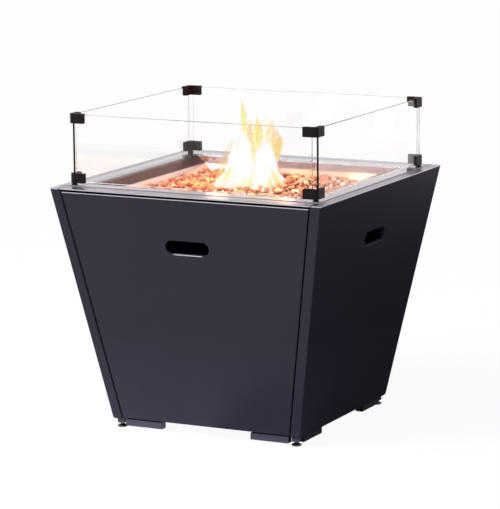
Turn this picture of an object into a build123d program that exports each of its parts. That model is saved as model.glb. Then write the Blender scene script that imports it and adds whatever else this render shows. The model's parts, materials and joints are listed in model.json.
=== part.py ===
from build123d import *
import math
import os
import random

# A floor-standing gas fire pit: an inverted pyramid cabinet with a tilt-out front door, a pan of
# lava rock with a ring burner, and a lift-off glass wind guard.  Millimetres, +Z up, origin on the
# floor under the middle, front towards -Y.

# ------------------------------------------------------------------ driving dimensions
TOP_WIDTH = 700.0            # square, across the rim
BASE_WIDTH = 496.0           # square, across the panels at their bottom edge
RIM_TOP = 588.0              # floor to the top of the rim
RIM_THICK = 2.0
PANEL_BOTTOM = 24.0          # floor to the bottom edge of the panels
SHEET = 2.0                  # panel steel
FLANGE = 24.0                # width of the folded corner strips beside the door
DOOR_GAP = 5.0               # shadow gap each side of the door
DOOR_TOP_GAP = 3.5           # between the rim and the door
DOOR_DEPTH = 15.0            # depth of the folded edges of the door
DOOR_BOTTOM = 25.5
DOOR_TOP_FOLD = 3.5          # radius of the fold along the door's top edge
DOOR_FOLD = 1.6              # radius of its other three folds

SLOT_LENGTH = 113.0          # hand slot, a stadium
SLOT_HEIGHT = 33.0
SLOT_CENTRE_Z = 465.0
SLOT_LIP = 9.0               # depth of the slot's inward-folded lip
SLOT_LIP_WALL = 1.5
SLOT_ROUND = 1.2             # rounding of the slot's outer edge
BEND_RADIUS = 2.5            # outside radius of the panels' corner folds

FLANGE_X = 324.0             # half sizes of the pan's outer flange
FLANGE_Y = 304.0
PAN_EDGE_X = 282.0           # half sizes of the pan's mouth
PAN_EDGE_Y = 268.0
APRON_X = 237.0              # half sizes at the foot of the sloping apron
APRON_Y = 225.0
PAN_FLOOR_X = 222.0          # half sizes of the pan's floor
PAN_FLOOR_Y = 210.0
APRON_DROP = 13.0
PAN_DEPTH = 66.0
PAN_SHEET = 1.5

GUARD_X = 322.0              # half sizes over the corner clips
GUARD_Y = 304.0
GLASS = 5.0
GLASS_SET_IN = 3.5           # clip wall outside the glass
PANE_HALF_X = 306.0          # half lengths of the front and side panes
PANE_HALF_Y = 291.0
GLASS_BOTTOM = 597.7
GLASS_TOP = 757.0
CLIP_LEG = 38.0
CLIP_THICK = 12.0
CLIP_HEIGHT = 23.0
CLIP_CHAMFER = 7.0
CLIP_CAP = 2.5               # clip metal over or under the glass edge
CLIP_HEAD = 1.6              # height of the pinch screws' heads
STEM_RADIUS = 6.0
STEM_INSET = 8.5             # from the clips' outer faces to the stem's middle
PAD_HEIGHT = 2.0

FOOT_SPACING = 231.0         # half distance between foot centres
FOOT_RADIUS = 12.5
FOOT_HEIGHT = 7.0
STUD_RADIUS = 4.0
STUD_TOP = 44.0
RUNNING_GAP = 0.1            # radial, between moving round pieces
SOCKET_SIZE = 17.0
SOCKET_BOTTOM = 10.0
PLATE_BOTTOM = 21.5
PLATE_THICK = 3.0

STRIP_START = 33.0           # kick strip: distance from the cabinet's corner
STRIP_LENGTH = 98.0
STRIP_DEPTH = 18.0
STRIP_HEIGHT = 16.0
STRIP_SET_BACK = 5.0
STRIP_WALL = 1.5

PIVOT_BEHIND_FACE = 6.5      # door pivot behind the door's outer face
PIVOT_Z = 31.0
PIVOT_RADIUS = 2.0
EYE_RADIUS = 4.0
HINGE_X = 170.0              # half distance between the hinges
CATCH_X = 205.0              # half distance between the magnetic catches

AIR_SLOT = (70.0, 7.0)       # rear panel's air slots: length and height
AIR_PITCH = (95.0, 18.0)
AIR_LOWEST = 80.0
SCREW_HEIGHTS = (60.0, 230.0, 400.0, 560.0)
SCREW_RADIUS = 2.0
HEAD_RADIUS = 4.0
HEAD_HEIGHT = 1.8
FRONT_POST_LEG = 26.0
REAR_POST_LEG = 45.0
TIGHT_GAP = 0.05             # radial, round pins and screws

BOTTLE_RING_RADIUS = 158.0
BOTTLE_RING_HEIGHT = 14.0
BOTTLE_RING_GAP = 120.0      # its open front
PLATE_FRONT = -233.5         # front edge of the cabinet floor, behind the door

RING_RADIUS = 75.0           # burner ring
RING_TUBE = 7.0
RING_HEIGHT = 12.0
RING_LEG = 3.0
HUB_RADIUS = 16.0
PORT_RADIUS = 1.3
GRATE_X = 220.0              # half sizes of the rock grate
GRATE_Y = 208.0
GRATE_LEG = 16.5
GRATE_THICK = 2.0
GRATE_PITCH = (46.0, 44.0)
GRATE_HOLE = 6.0
ROCK_PITCH = 46.0
ROCK_HEAP = 80.0             # reach of the second layer of stones
SHIELD_DROP = 15.0           # pan floor to the underside of the heat shield
SHIELD_X = 215.0
SHIELD_Y = 200.0
SHIELD_THICK = 1.5

PROBE_Y = -96.0              # spark electrode and thermocouple, side by side
ELECTRODE_X = 48.0
THERMOCOUPLE_X = 80.0
PROBE_RADIUS = 4.0
JET_DROP = 36.0              # pan floor to the gas jet's cross bore
JET_RADIUS = 11.0
PIPE_RADIUS = 4.0

BRACKET_FRONT = -283.0       # control bracket
BRACKET_BACK = -281.0
BRACKET_HALF = 95.0
BRACKET_LOW = 496.0
BRACKET_LIP = 28.0
VALVE_BACK = -244.0
VALVE_HALF = 17.0
KNOB_Z = 530.0               # height of the knob and the igniter button
KNOB_RADIUS = 22.0
KNOB_LENGTH = 20.0
KNOB_GRIP = 17.0
KNOB_BEHIND = 5.0            # free travel behind the knob
COLLAR_RADIUS = 7.0
COLLAR_FRONT = -279.0
COLLAR_BACK = -272.0
COLLAR_ROOM = -262.0         # back of the collar's pocket in the valve
STEM_FRONT = -306.0
STEM_BACK = -269.0
BUTTON_X = 62.0
BUTTON_RADIUS = 8.0
BUTTON_OUT = 11.0
BUTTON_BACK = -270.0
BARREL_RADIUS = 11.0
BARREL_BACK = -235.0
INLET_RADIUS = 5.0           # hose tail
INLET_LENGTH = 28.0
INLET_Y = -258.0
INLET_Z = 526.0

SIDES = {"front": 0, "right": 90, "rear": 180, "left": 270}
CORNERS = {"front_left": (-1, -1), "front_right": (1, -1), "rear_right": (1, 1), "rear_left": (-1, 1)}

# ------------------------------------------------------------------ worked-out sizes
PANEL_TOP = RIM_TOP - RIM_THICK
SLOPE = (TOP_WIDTH - BASE_WIDTH) / 2 / (RIM_TOP - PANEL_BOTTOM)
LEAN = math.atan(SLOPE)
SHEET_ACROSS = SHEET / math.cos(LEAN)         # sheet thickness measured level
DOOR_TOP = PANEL_TOP - DOOR_TOP_GAP
PLATE_TOP = PLATE_BOTTOM + PLATE_THICK
PAN_FLOOR = RIM_TOP + PAN_SHEET - PAN_DEPTH
GRATE_TOP = PAN_FLOOR + GRATE_LEG + GRATE_THICK
GLASS_X = GUARD_X - GLASS_SET_IN - GLASS / 2
GLASS_Y = GUARD_Y - GLASS_SET_IN - GLASS / 2
CLIP_INNER_X = GUARD_X - CLIP_THICK
CLIP_INNER_Y = GUARD_Y - CLIP_THICK
STEM_X = GUARD_X - STEM_INSET
STEM_Y = GUARD_Y - STEM_INSET
BIG = 500.0

parts = {}


def half_width(z):
    """Half the cabinet's width at a height, over the panels."""
    return BASE_WIDTH / 2 + (z - PANEL_BOTTOM) * SLOPE


PIVOT_Y = -half_width(PIVOT_Z) + PIVOT_BEHIND_FACE


def band(across, inset, z0, z1):
    """The slab between two opposite cabinet faces, each moved in by inset."""
    low, high = half_width(z0) - inset, half_width(z1) - inset
    outline = Polyline((-low, z0), (low, z0), (high, z1), (-high, z1), close=True)
    between = extrude(Plane.XZ * make_face(outline), amount=BIG, both=True)
    return between if across == "x" else Rot(0, 0, 90) * between


def frustum(inset, z0, z1):
    """The cabinet's solid pyramid between two heights, its faces moved in by inset."""
    return band("x", inset, z0, z1) & band("y", inset, z0, z1)


def slab(x0, x1, y0, y1, z0, z1):
    """A box given by its limits."""
    return Pos((x0 + x1) / 2, (y0 + y1) / 2, (z0 + z1) / 2) * Box(x1 - x0, y1 - y0, z1 - z0)


def rod(start, end, radius):
    """A round bar between two points."""
    a, b = Vector(start), Vector(end)
    return extrude(Plane(origin=a, z_dir=b - a) * Circle(radius), amount=(b - a).length)


def upright(x, y, z0, z1, radius):
    """A vertical round bar."""
    return rod((x, y, z0), (x, y, z1), radius)


def face_plane():
    """Plane on the front face: local x level, local y up the slope, local z outwards."""
    foot = (0, -half_width(PANEL_BOTTOM), PANEL_BOTTOM)
    return Plane(origin=foot, x_dir=(1, 0, 0), z_dir=(0, -math.cos(LEAN), -math.sin(LEAN)))


def up_slope(z):
    """Distance up the sloping face to a height."""
    return (z - PANEL_BOTTOM) / math.cos(LEAN)


def face_block(x, z, width, height, near, far):
    """A block in the front face's own directions, from near to far behind the outer face."""
    block = Pos(x, up_slope(z), -(near + far) / 2) * Box(width, height, far - near)
    return face_plane().location * block


def stadium(grow, near, far):
    """A stadium-shaped bar through the front face at the hand slot."""
    outline = SlotOverall(SLOT_LENGTH + 2 * grow, SLOT_HEIGHT + 2 * grow)
    bar = extrude(Pos(0, up_slope(SLOT_CENTRE_Z), -far) * outline, amount=far - near)
    return face_plane().location * bar


def hand_slot(panel, side="front"):
    """Cuts the hand slot into a panel, folds its lip inwards and rounds its outer edge."""
    turn = Rot(0, 0, SIDES[side])
    cut = turn * stadium(0, -BIG / 20, BIG / 20)
    panel = panel - cut + (turn * stadium(SLOT_LIP_WALL, SHEET, SLOT_LIP) - cut)
    outline = [edge.center() for edge in (turn * stadium(0, 0, 1)).edges()]
    near = [min((edge.center() - spot).length for spot in outline) for edge in panel.edges()]
    return fillet([edge for edge, gap in zip(panel.edges(), near) if gap < TIGHT_GAP], SLOT_ROUND)


def half_space(side):
    """A large block covering one side of the cabinet."""
    return Rot(0, 0, SIDES[side]) * slab(-BIG, BIG, -BIG, 0, -BIG, 2 * BIG)


def group(pieces):
    """Separate solids that share one node."""
    solids = [solid for piece in pieces for solid in piece.solids()]
    return Compound(children=solids)


# ------------------------------------------------------------------ cabinet
def sheet_shell(inset, z0, z1):
    """The four sloping walls, one sheet thick."""
    return frustum(inset, z0, z1) - frustum(inset + SHEET_ACROSS, z0 - 1, z1 + 1)


def side_panels():
    """Left and right panels, each folded round the front and rear corners."""
    shell = sheet_shell(0, PANEL_BOTTOM, PANEL_TOP) - band("x", FLANGE, PANEL_BOTTOM - 1, PANEL_TOP + 1)
    for side in ("left", "right"):
        panel = shell & half_space(side)
        folds = [edge for edge in panel.edges() if edge.length > RIM_TOP / 2]
        folds.sort(key=lambda edge: abs(edge.center().X) + abs(edge.center().Y))
        panel = fillet(folds[-2:], BEND_RADIUS)
        parts[side + "_panel"] = hand_slot(panel, side)


def rear_panel():
    """Rear panel with a hand slot, air slots and screw holes, lapping the rear posts."""
    panel = sheet_shell(0, PANEL_BOTTOM, PANEL_TOP) & half_space("rear")
    panel = panel & band("x", FLANGE + 0.8, PANEL_BOTTOM, PANEL_TOP)
    cuts = []
    for row in range(4):
        for column in (-1, 0, 1):
            place = Pos(column * AIR_PITCH[0], up_slope(AIR_LOWEST + row * AIR_PITCH[1]), 0)
            air = place * SlotOverall(*AIR_SLOT)
            cuts.append(extrude(face_plane() * air, amount=10, both=True))
    panel = hand_slot(panel - Rot(0, 0, SIDES["rear"]) * group(cuts), "rear")
    for spot in screw_spots():
        panel -= rear_bar(spot, 6, -6, SCREW_RADIUS + TIGHT_GAP)
    parts["rear_panel"] = panel


def screw_spots():
    """Places of the rear panel's screws: level distance from the middle, and height."""
    return [(side * (half_width(z) - FLANGE - 10), z) for z in SCREW_HEIGHTS for side in (-1, 1)]


def rear_bar(spot, out, back, radius):
    """A round bar square to the rear face, from out in front of it to back behind it."""
    x, z = spot
    bar = extrude(Pos(x, up_slope(z), back) * Circle(radius), amount=out - back)
    return Rot(0, 0, SIDES["rear"]) * (face_plane().location * bar)


def frame_screws():
    """Pan-head screws that hold the rear panel to the rear posts."""
    screws = []
    for spot in screw_spots():
        head = rear_bar(spot, HEAD_HEIGHT, 0, HEAD_RADIUS)
        head = chamfer(head.edges().filter_by(GeomType.CIRCLE).sort_by(Axis.Y)[-1], 0.7)
        screws.append(head + rear_bar(spot, 0, -7, SCREW_RADIUS))
    parts["frame_screws"] = group(screws)


def corner_posts():
    """Folded angles inside the four corners, narrow beside the door."""
    shell = sheet_shell(SHEET_ACROSS, PLATE_TOP, PANEL_TOP)
    low, high = PLATE_TOP - 1, PANEL_TOP + 1
    for name, (sx, sy) in CORNERS.items():
        leg = FRONT_POST_LEG if sy < 0 else REAR_POST_LEG
        post = shell - band("x", leg, low, high) - band("y", REAR_POST_LEG, low, high)
        post = post & half_space("right" if sx > 0 else "left") & half_space("rear" if sy > 0 else "front")
        if sy > 0:
            for spot in screw_spots():
                post -= rear_bar(spot, 6, -10, SCREW_RADIUS + TIGHT_GAP)
        parts["corner_post_" + name] = post


def top_frame():
    """Square rim that carries the burner pan."""
    plate = slab(-TOP_WIDTH / 2, TOP_WIDTH / 2, -TOP_WIDTH / 2, TOP_WIDTH / 2, PANEL_TOP, RIM_TOP)
    plate = chamfer(plate.edges().group_by(Axis.Z)[-1], 0.5)
    mouth = slab(-PAN_EDGE_X - 8, PAN_EDGE_X + 8, -PAN_EDGE_Y - 8, PAN_EDGE_Y + 8, 0, BIG * 2)
    parts["top_frame"] = plate - mouth


def base_plate():
    """Cabinet floor, set back behind the door, with holes for the feet."""
    plate = frustum(SHEET_ACROSS, PLATE_BOTTOM, PLATE_TOP)
    recess = half_width(PANEL_BOTTOM) - FRONT_POST_LEG
    plate -= slab(-recess, recess, -BIG, PLATE_FRONT, 0, STUD_TOP)
    for sx, sy in CORNERS.values():
        plate -= upright(sx * FOOT_SPACING, sy * FOOT_SPACING, 0, STUD_TOP, STUD_RADIUS + RUNNING_GAP)
    parts["base_plate"] = plate


def kick_strips():
    """Two folded channels under each side of the floor, one near each corner."""
    outer = -half_width(PANEL_BOTTOM) + STRIP_SET_BACK
    start = -half_width(PANEL_BOTTOM) + STRIP_START
    low = PLATE_BOTTOM - STRIP_HEIGHT
    body = slab(start, start + STRIP_LENGTH, outer, outer + STRIP_DEPTH, low, PLATE_BOTTOM)
    body = fillet(body.edges().group_by(Axis.Z)[0], 1.0)
    inner, inner_end = start + STRIP_WALL, start + STRIP_LENGTH - STRIP_WALL
    hollow_back = outer + STRIP_DEPTH - STRIP_WALL
    body -= slab(inner, inner_end, outer + STRIP_WALL, hollow_back, low + STRIP_WALL, STUD_TOP)
    pair = group([body, mirror(body, Plane.YZ)])
    for side, turn in SIDES.items():
        parts["kick_strip_" + side] = Rot(0, 0, turn) * pair


def bottle_ring():
    """Low ring on the floor that keeps the gas bottle in place."""
    top = PLATE_TOP + BOTTLE_RING_HEIGHT
    ring = upright(0, 0, PLATE_TOP, top, BOTTLE_RING_RADIUS)
    ring -= upright(0, 0, 0, BIG, BOTTLE_RING_RADIUS - SHEET)
    parts["bottle_ring"] = ring - slab(-BOTTLE_RING_GAP / 2, BOTTLE_RING_GAP / 2, -BIG, 0, 0, BIG)


# ------------------------------------------------------------------ feet
def levelling_foot():
    """A domed disc turned in one piece with its stud."""
    shoulder = FOOT_HEIGHT - 1
    dome = RadiusArc((FOOT_RADIUS, 2), (STUD_RADIUS + 2, shoulder), -8)
    sides = Polyline((STUD_RADIUS + 2, shoulder), (STUD_RADIUS, FOOT_HEIGHT), (STUD_RADIUS, STUD_TOP),
                     (0, STUD_TOP), (0, 0), (FOOT_RADIUS - 1.5, 0), (FOOT_RADIUS, 2))
    outline = Plane.XZ * make_face([dome, sides])
    return revolve(outline, axis=Axis.Z)


def feet():
    """Socket blocks, weld nuts and four levelling feet."""
    sockets, nuts = [], []
    for name, (sx, sy) in CORNERS.items():
        x, y = sx * FOOT_SPACING, sy * FOOT_SPACING
        bore = upright(x, y, 0, BIG, STUD_RADIUS + RUNNING_GAP)
        half = SOCKET_SIZE / 2
        sockets.append(slab(x - half, x + half, y - half, y + half, SOCKET_BOTTOM, PLATE_BOTTOM) - bore)
        nut = extrude(Pos(x, y, PLATE_TOP) * RegularPolygon(7.5, 6), amount=6.5)
        nuts.append(nut - bore)
        parts["levelling_foot_" + name] = Pos(x, y, 0) * levelling_foot()
    parts["foot_sockets"] = group(sockets)
    parts["foot_weld_nuts"] = group(nuts)


# ------------------------------------------------------------------ door
def front_edges(block):
    """Edges round a block's front face, the highest last."""
    front = max(block.faces(), key=lambda face: -face.normal_at().Y)
    return front.edges().sort_by(Axis.Z)


def door():
    """Front door: a folded pan hinged along its bottom edge, with a hand slot."""
    side = FLANGE + DOOR_GAP
    block = frustum(0, DOOR_BOTTOM, DOOR_TOP) - frustum(DOOR_DEPTH, DOOR_BOTTOM - 1, DOOR_TOP + 1)
    block = block & half_space("front") & band("x", side, DOOR_BOTTOM, DOOR_TOP)
    block = fillet(front_edges(block)[-1], DOOR_TOP_FOLD)
    block = fillet(front_edges(block)[:-1], DOOR_FOLD)
    pocket = frustum(SHEET_ACROSS, DOOR_BOTTOM + SHEET, DOOR_TOP - SHEET)
    pocket = pocket & half_space("front") & band("x", side + SHEET_ACROSS, DOOR_BOTTOM, DOOR_TOP)
    panel = hand_slot(block - pocket)
    for sx in (-1, 1):
        notch = slab(sx * HINGE_X - 8, sx * HINGE_X + 8, PIVOT_Y - 4.3, PIVOT_Y + 20, 0, DOOR_BOTTOM + 3)
        panel -= notch
    parts["door_panel"] = panel


def door_hinges():
    """Eyes on the cabinet floor, and lugs with pins on the door."""
    eyes, lugs = [], []
    pin_hole = rod((-BIG, PIVOT_Y, PIVOT_Z), (BIG, PIVOT_Y, PIVOT_Z), PIVOT_RADIUS + TIGHT_GAP)
    for sx in (-1, 1):
        x = sx * HINGE_X
        eye = rod((x - 3, PIVOT_Y, PIVOT_Z), (x + 3, PIVOT_Y, PIVOT_Z), EYE_RADIUS)
        arm = slab(x - 3, x + 3, PIVOT_Y, -222, PIVOT_Z - 2.5, PIVOT_Z + EYE_RADIUS)
        foot = slab(x - 3, x + 3, -232, -222, PLATE_TOP, PIVOT_Z + EYE_RADIUS)
        tab = slab(x - 12, x + 12, -224, -200, PLATE_TOP, PLATE_TOP + 2)
        eyes.append(eye + arm + foot + tab - pin_hole)
        lug = face_block(x + sx * 6.5, PIVOT_Z + 6, 5, 34, SHEET, 13)
        lug = lug & slab(-BIG, BIG, -BIG, BIG, DOOR_BOTTOM + SHEET + 0.5, 100)
        pin = rod((x - sx * 5, PIVOT_Y, PIVOT_Z), (x + sx * 6.5, PIVOT_Y, PIVOT_Z), PIVOT_RADIUS)
        lugs.append(lug + pin)
    parts["door_hinge_eyes"] = group(eyes)
    parts["door_hinge_lugs"] = group(lugs)


def door_catches():
    """Magnetic catches under the rim and steel strikes on the door."""
    catches, strikes = [], []
    z = DOOR_TOP - 22
    for sx in (-1, 1):
        x = sx * CATCH_X
        strikes.append(face_block(x, z, 34, 16, SHEET, DOOR_DEPTH))
        catch = face_block(x, z, 44, 20, DOOR_DEPTH + 0.4, DOOR_DEPTH + 13)
        hanger = face_block(x, z + 15, 44, 60, DOOR_DEPTH + 5, DOOR_DEPTH + 13)
        hanger = hanger & slab(-BIG, BIG, -BIG, BIG, z, PANEL_TOP)
        catches.append(catch + hanger)
    parts["magnet_catches"] = group(catches)
    parts["strike_plates"] = group(strikes)


# ------------------------------------------------------------------ burner pan
def pan_block(grow, lift):
    """The pan's hollow as a solid: a sloping apron over a steep-sided well."""
    levels = [(PAN_EDGE_X, PAN_EDGE_Y, RIM_TOP + PAN_SHEET),
              (APRON_X, APRON_Y, RIM_TOP + PAN_SHEET - APRON_DROP),
              (PAN_FLOOR_X, PAN_FLOOR_Y, PAN_FLOOR)]
    pieces = []
    for (x1, y1, z1), (x0, y0, z0) in zip(levels, levels[1:]):
        across_x = Polyline((-x0 - grow, z0), (x0 + grow, z0), (x1 + grow, z1), (-x1 - grow, z1), close=True)
        across_y = Polyline((-y0 - grow, z0), (y0 + grow, z0), (y1 + grow, z1), (-y1 - grow, z1), close=True)
        wide = extrude(Plane.XZ * make_face(across_x), amount=BIG, both=True)
        deep = Rot(0, 0, 90) * extrude(Plane.XZ * make_face(across_y), amount=BIG, both=True)
        pieces.append(wide & deep)
    return Pos(0, 0, lift) * (pieces[0] + pieces[1])


def burner_tray():
    """Stainless pan with a flange that rests on the rim."""
    low, high = RIM_TOP, RIM_TOP + PAN_SHEET
    flange = slab(-FLANGE_X, FLANGE_X, -FLANGE_Y, FLANGE_Y, low, high)
    well = pan_block(PAN_SHEET, -PAN_SHEET) & slab(-BIG, BIG, -BIG, BIG, 0, high)
    pan = flange + well - pan_block(0, 0)
    pan -= upright(0, 0, 0, BIG * 2, JET_RADIUS + 1)
    for x in (ELECTRODE_X, THERMOCOUPLE_X):
        pan -= upright(x, PROBE_Y, 0, BIG * 2, PROBE_RADIUS + RUNNING_GAP)
    parts["burner_tray"] = pan


def rock_grate():
    """Perforated plate over the burner that carries the rocks."""
    low, top = PAN_FLOOR + GRATE_LEG, GRATE_TOP
    plate = slab(-GRATE_X, GRATE_X, -GRATE_Y, GRATE_Y, low, top)
    holes = []
    for column in range(-4, 5):
        for row in range(-4, 5):
            holes.append(upright(column * GRATE_PITCH[0], row * GRATE_PITCH[1], low - 5, top + 5, GRATE_HOLE))
    plate -= group(holes)
    for x in (ELECTRODE_X, THERMOCOUPLE_X):
        plate -= slab(x - 9, x + 9, PROBE_Y - 10, PROBE_Y + 10, low - 5, top + 5)
    leg_x, leg_y = GRATE_X - 13, GRATE_Y - 10
    for x in (-leg_x, 0, leg_x):
        for y in (-leg_y, leg_y):
            plate += slab(x - 6, x + 6, y - 1, y + 1, PAN_FLOOR, low)
    parts["rock_grate"] = plate


def burner_ring():
    """Ring burner on short legs, with a hub, spokes and gas ports."""
    low, top = PAN_FLOOR + RING_LEG, PAN_FLOOR + RING_LEG + RING_HEIGHT
    body = upright(0, 0, low, top, RING_RADIUS + RING_TUBE) - upright(0, 0, low, top, RING_RADIUS - RING_TUBE)
    body = chamfer(body.edges().group_by(Axis.Z)[-1], 2)
    body += upright(0, 0, low, top, HUB_RADIUS)
    for turn in range(0, 360, 90):
        spoke = slab(12, RING_RADIUS, -4.5, 4.5, low, low + 9)
        leg = slab(RING_RADIUS - 3, RING_RADIUS + 3, -3, 3, PAN_FLOOR, low + 1)
        body += Rot(0, 0, turn) * (spoke + leg)
    body -= upright(0, 0, PAN_FLOOR, low + 9, 9.5)
    for turn in range(0, 360, 15):
        port = upright(RING_RADIUS, 0, top - 5, top + 1, PORT_RADIUS)
        body -= Rot(0, 0, turn + 7.5) * port
    parts["burner_ring"] = body


def rock_shape(maker):
    """A convex broken stone about 40 mm across: a block with its corners knocked off."""
    stone = Box(maker.uniform(33, 40), maker.uniform(30, 36), maker.uniform(23, 27))
    for cut in range(13):
        height = maker.uniform(-1, 1)
        turn = maker.uniform(0, 2 * math.pi)
        level = math.sqrt(1 - height * height)
        way = Vector(level * math.cos(turn), level * math.sin(turn), height)
        reach = maker.uniform(15.5, 18.5) - 4.0 * abs(height)
        plane = Plane(origin=way * reach, z_dir=way)
        stone = split(stone, bisect_by=plane, keep=Keep.BOTTOM)
    return stone


def lava_rocks():
    """Loose stones, with a few more heaped in the middle, clear of the igniter."""
    maker = random.Random(7)
    shapes = [rock_shape(maker) for kind in range(7)]
    stones = []
    floor = GRATE_TOP + RUNNING_GAP
    probes_x = (ELECTRODE_X + THERMOCOUPLE_X) / 2

    def lay(x, y, low, size):
        stone = scale(maker.choice(shapes), by=size)
        stone = Rot(0, 0, maker.uniform(0, 360)) * Rot(maker.choice((0, 180)), 0, 0) * stone
        lift = low - stone.bounding_box().min.Z
        stones.append(Pos(x, y, lift) * stone)

    for column in range(-4, 5):
        for row in range(-4, 5):
            x, y = column * ROCK_PITCH, row * (ROCK_PITCH - 1.5)
            if abs(x - probes_x) < 46 and abs(y - PROBE_Y) < 34:
                continue
            lay(x + maker.uniform(-1.5, 1.5), y + maker.uniform(-1, 1), floor, maker.uniform(0.92, 1.04))
    for column in range(-3, 4):
        for row in range(-3, 4):
            x, y = (column + 0.5) * ROCK_PITCH * 0.92, (row + 0.5) * ROCK_PITCH * 0.92
            if math.hypot(x, y) > ROCK_HEAP or (abs(x - probes_x) < 46 and abs(y - PROBE_Y) < 40):
                continue
            lay(x, y, floor + 29.0, maker.uniform(0.72, 0.86))
    parts["lava_rocks"] = group(stones)


def heat_shield():
    """Plate under the pan that keeps heat off the gas bottle, on four spacers."""
    low, top = PAN_FLOOR - SHIELD_DROP, PAN_FLOOR - SHIELD_DROP + SHIELD_THICK
    plate = slab(-SHIELD_X, SHIELD_X, -SHIELD_Y, SHIELD_Y, low, top)
    plate -= upright(0, 0, low - 1, top + 1, JET_RADIUS + 13)
    plate -= slab(ELECTRODE_X - 13, THERMOCOUPLE_X + 15, PROBE_Y - 19, PROBE_Y + 16, low - 1, top + 1)
    for x in (35 - SHIELD_X, SHIELD_X - 35):
        for y in (35 - SHIELD_Y, SHIELD_Y - 35):
            plate += upright(x, y, top, PAN_FLOOR - PAN_SHEET, 5)
    parts["heat_shield"] = plate


# ------------------------------------------------------------------ gas train
def gas_train():
    """Valve, rigid pipe, jet and mixing tube."""
    jet_z = PAN_FLOOR - JET_DROP
    throat = JET_RADIUS - 1.7
    tube = upright(0, 0, jet_z + 6, PAN_FLOOR + RING_LEG, JET_RADIUS)
    tube += upright(0, 0, PAN_FLOOR - PAN_SHEET - 2, PAN_FLOOR - PAN_SHEET, 20)
    tube -= upright(0, 0, 0, BIG * 2, throat)
    tube -= rod((-30, 0, jet_z + 16), (30, 0, jet_z + 16), 4)
    parts["mixing_tube"] = tube

    jet = upright(0, 0, jet_z - 9, jet_z + 6, JET_RADIUS) + upright(0, 0, jet_z + 6, jet_z + 11, throat)
    jet -= upright(0, 0, jet_z, jet_z + 30, 0.8)
    jet -= rod((0, -30, jet_z), (0, 0, jet_z), PIPE_RADIUS)
    parts["gas_jet"] = jet

    valve_y = (BRACKET_BACK + VALVE_BACK) / 2
    start, end = (0, valve_y, KNOB_Z - 16), (0, -2, jet_z)
    path = FilletPolyline(start, (0, valve_y, jet_z), end, radius=18)
    mouth = Plane(origin=start, z_dir=(0, 0, -1))
    solid, bore = mouth * Circle(PIPE_RADIUS), mouth * Circle(PIPE_RADIUS - 1.2)
    parts["gas_pipe"] = sweep(solid, path=path) - sweep(bore, path=path)


def along(x, front, back, radius):
    """A round bar from front to back at the height of the controls."""
    return rod((x, front, KNOB_Z), (x, back, KNOB_Z), radius)


def control_bracket():
    """Bracket behind the door, folded forwards under the rim."""
    plate = slab(-BRACKET_HALF, BRACKET_HALF, BRACKET_FRONT, BRACKET_BACK, BRACKET_LOW, PANEL_TOP)
    lip_front = BRACKET_FRONT - BRACKET_LIP
    lip = slab(-BRACKET_HALF, BRACKET_HALF, lip_front, BRACKET_FRONT, PANEL_TOP - SHEET, PANEL_TOP)
    stem_hole = along(0, BRACKET_FRONT - 1, BRACKET_BACK + 1, STUD_RADIUS + RUNNING_GAP)
    barrel_hole = along(BUTTON_X, BRACKET_FRONT - 1, BRACKET_BACK + 1, BARREL_RADIUS)
    parts["control_bracket"] = plate + lip - stem_hole - barrel_hole


def gas_valve():
    """Valve body with its hose tail, and the stem with its push collar."""
    body = slab(-VALVE_HALF, VALVE_HALF, BRACKET_BACK, VALVE_BACK, KNOB_Z - 16, KNOB_Z + 14)
    body = chamfer(body.edges().filter_by(Axis.Y), 3)
    shoulder = -VALVE_HALF - 5
    body += rod((-VALVE_HALF, INLET_Y, INLET_Z), (shoulder, INLET_Y, INLET_Z), 9)
    body += rod((shoulder, INLET_Y, INLET_Z), (shoulder - INLET_LENGTH, INLET_Y, INLET_Z), INLET_RADIUS)
    body -= rod((-60, INLET_Y, INLET_Z), (-20, INLET_Y, INLET_Z), INLET_RADIUS - 2)
    body -= along(0, BRACKET_FRONT, COLLAR_ROOM, COLLAR_RADIUS + RUNNING_GAP)
    body -= along(0, COLLAR_ROOM, VALVE_BACK + 1, 3)
    parts["gas_valve"] = body
    parts["valve_stem"] = along(0, STEM_FRONT, STEM_BACK, STUD_RADIUS)
    hole = along(0, STEM_FRONT, STEM_BACK, STUD_RADIUS + RUNNING_GAP)
    parts["push_collar"] = along(0, COLLAR_FRONT, COLLAR_BACK, COLLAR_RADIUS) - hole


def control_knob():
    """Fluted knob with a raised pointer, on the stem."""
    back = BRACKET_FRONT - KNOB_BEHIND
    front, skirt = back - KNOB_LENGTH, back - 6
    knob = along(0, back, skirt, KNOB_RADIUS) + along(0, skirt, front, KNOB_GRIP)
    for turn in range(0, 360, 30):
        groove = rod((KNOB_GRIP + 1.5, skirt - 1, 0), (KNOB_GRIP + 1.5, front - 1, 0), 3)
        knob -= Pos(0, 0, KNOB_Z) * Rot(0, turn, 0) * groove
    knob -= along(0, STEM_FRONT, STEM_BACK, STUD_RADIUS)
    parts["control_knob"] = knob + slab(-1, 1, front - 0.8, front, KNOB_Z + 6, KNOB_Z + 15)


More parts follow.
